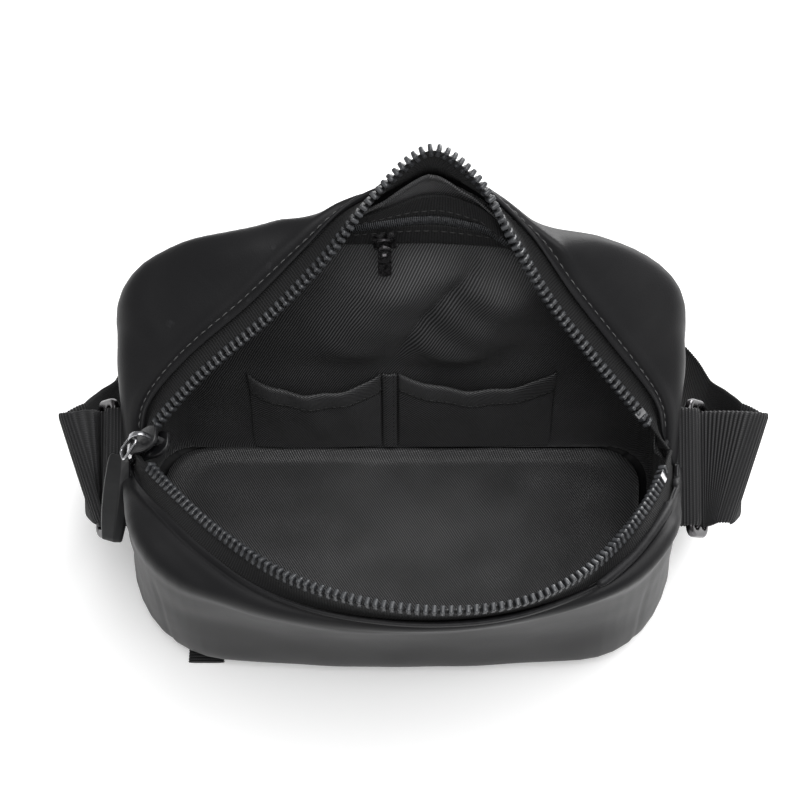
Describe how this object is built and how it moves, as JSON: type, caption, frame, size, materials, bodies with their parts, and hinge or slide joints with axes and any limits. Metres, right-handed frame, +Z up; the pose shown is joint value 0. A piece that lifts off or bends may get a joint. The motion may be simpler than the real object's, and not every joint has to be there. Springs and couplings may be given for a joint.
{
  "type": "sling bag",
  "caption": "Soft boxy sling bag standing with its top zipper open, lined inside with slip pockets and a zipped pocket, with a webbing strap on side buckles.",
  "frame": {"origin": "middle of the base, on the surface that the bag stands on", "axes": "+X to the bag's right as seen from its front, +Y from the front to the back, +Z up"},
  "size_m": [0.2209, 0.1633, 0.1573],
  "materials": {
    "coated_fabric": "soft black coated fabric, semi-matte",
    "lining_twill": "black twill lining with a sheen",
    "foam": "thin padding between the shell and the lining",
    "board": "stiffening board in the base",
    "zipper_tape": "woven black tape",
    "moulded_teeth": "dark grey moulded plastic teeth",
    "gunmetal": "dark plated metal",
    "bright_metal": "bright plated wire",
    "soft_rubber": "matte black rubber",
    "webbing": "ribbed black nylon webbing"
  },
  "bodies": {
    "bag_body": {"base_board": "board", "base_panel": "coated_fabric", "base_seam_tab": "webbing", "floor_lining": "lining_twill", "front_lining": "lining_twill", "front_padding": "foam", "front_panel": "coated_fabric", "left_front_gusset": "coated_fabric", "left_lining": "lining_twill", "left_pocket_hem": "lining_twill", "left_rear_gusset": "coated_fabric", "left_slip_pocket": "lining_twill", "left_strap_run": "webbing", "left_strap_tab": "webbing", "pocket_divider": "lining_twill", "rear_lining": "lining_twill", "rear_padding": "foam", "rear_panel": "coated_fabric", "right_front_gusset": "coated_fabric", "right_lining": "lining_twill", "right_pocket_hem": "lining_twill", "right_rear_gusset": "coated_fabric", "right_slip_pocket": "lining_twill", "right_strap_run": "webbing", "right_strap_tab": "webbing", "strap_hank": "webbing", "strap_tie": "zipper_tape", "zip_bottom_stop": "bright_metal"},
    "front_lip": {"front_zip_tape": "zipper_tape", "front_zip_teeth": "moulded_teeth", "front_zip_top_stop": "bright_metal", "front_lip_band": "coated_fabric", "front_lip_lining": "lining_twill"},
    "rear_lip": {"rear_zip_tape": "zipper_tape", "rear_zip_teeth": "moulded_teeth", "rear_zip_top_stop": "bright_metal", "rear_lip_band": "coated_fabric", "rear_lip_lining": "lining_twill", "pocket_zip_chain": "moulded_teeth", "pocket_zip_upper_tape": "zipper_tape", "pocket_zip_lower_tape": "zipper_tape"},
    "slider": {"zip_slider": "gunmetal", "zip_slider_bail": "bright_metal"},
    "link": {"pull_link": "bright_metal"},
    "pull": {"rubber_pull": "soft_rubber"},
    "pocket_zip_slider": {"pocket_slider": "gunmetal"},
    "pocket_zip_pull": {"pocket_pull": "gunmetal"},
    "left_hardware": {"left_buckle": "gunmetal", "left_strap_end": "webbing"},
    "right_hardware": {"right_buckle": "gunmetal", "right_strap_end": "webbing"}
  },
  "joints": [
    {"name": "zip_travel", "type": "hinge", "parent": "bag_body", "child": "slider", "pos_m": [0, 0, 0.072], "axis": [0, 1, 0], "range_deg": [0, 149]},
    {"name": "front_lip_close", "type": "hinge", "parent": "bag_body", "child": "front_lip", "pos_m": [0, 0, 0.072], "axis": [-1, 0, 0], "range_deg": [0, 58.6]},
    {"name": "rear_lip_close", "type": "hinge", "parent": "bag_body", "child": "rear_lip", "pos_m": [0, 0, 0.072], "axis": [1, 0, 0], "range_deg": [0, 24.9]},
    {"name": "link_swing", "type": "hinge", "parent": "slider", "child": "link", "pos_m": [-0.08377, 0, 0.07967], "axis": [0, 1, 0], "range_deg": [0, 30]},
    {"name": "pull_swing", "type": "hinge", "parent": "link", "child": "pull", "pos_m": [-0.08853, -0.00331, 0.07343], "axis": [0.237, -0.9205, 0.3105], "range_deg": [-50, 0]},
    {"name": "pocket_slide", "type": "slide", "parent": "rear_lip", "child": "pocket_zip_slider", "axis": [1, 0, 0], "range_m": [0, 0.024]},
    {"name": "pocket_pull_swing", "type": "hinge", "parent": "pocket_zip_slider", "child": "pocket_zip_pull", "pos_m": [-0.0053, 0.0406, 0.1212], "axis": [-1, 0, 0], "range_deg": [0, 24]},
    {"name": "left_buckle_swing", "type": "hinge", "parent": "bag_body", "child": "left_hardware", "pos_m": [-0.093, 0.0015, 0.058], "axis": [0, 0.9063, 0.4226], "range_deg": [0, 30]},
    {"name": "right_buckle_swing", "type": "hinge", "parent": "bag_body", "child": "right_hardware", "pos_m": [0.093, 0.0015, 0.058], "axis": [0, -0.9063, -0.4226], "range_deg": [0, 30]}
  ],
  "couplings": [
    {"joint": "front_lip_close", "follows": "zip_travel", "ratio": 0.39286},
    {"joint": "rear_lip_close", "follows": "zip_travel", "ratio": 0.16667}
  ]
}
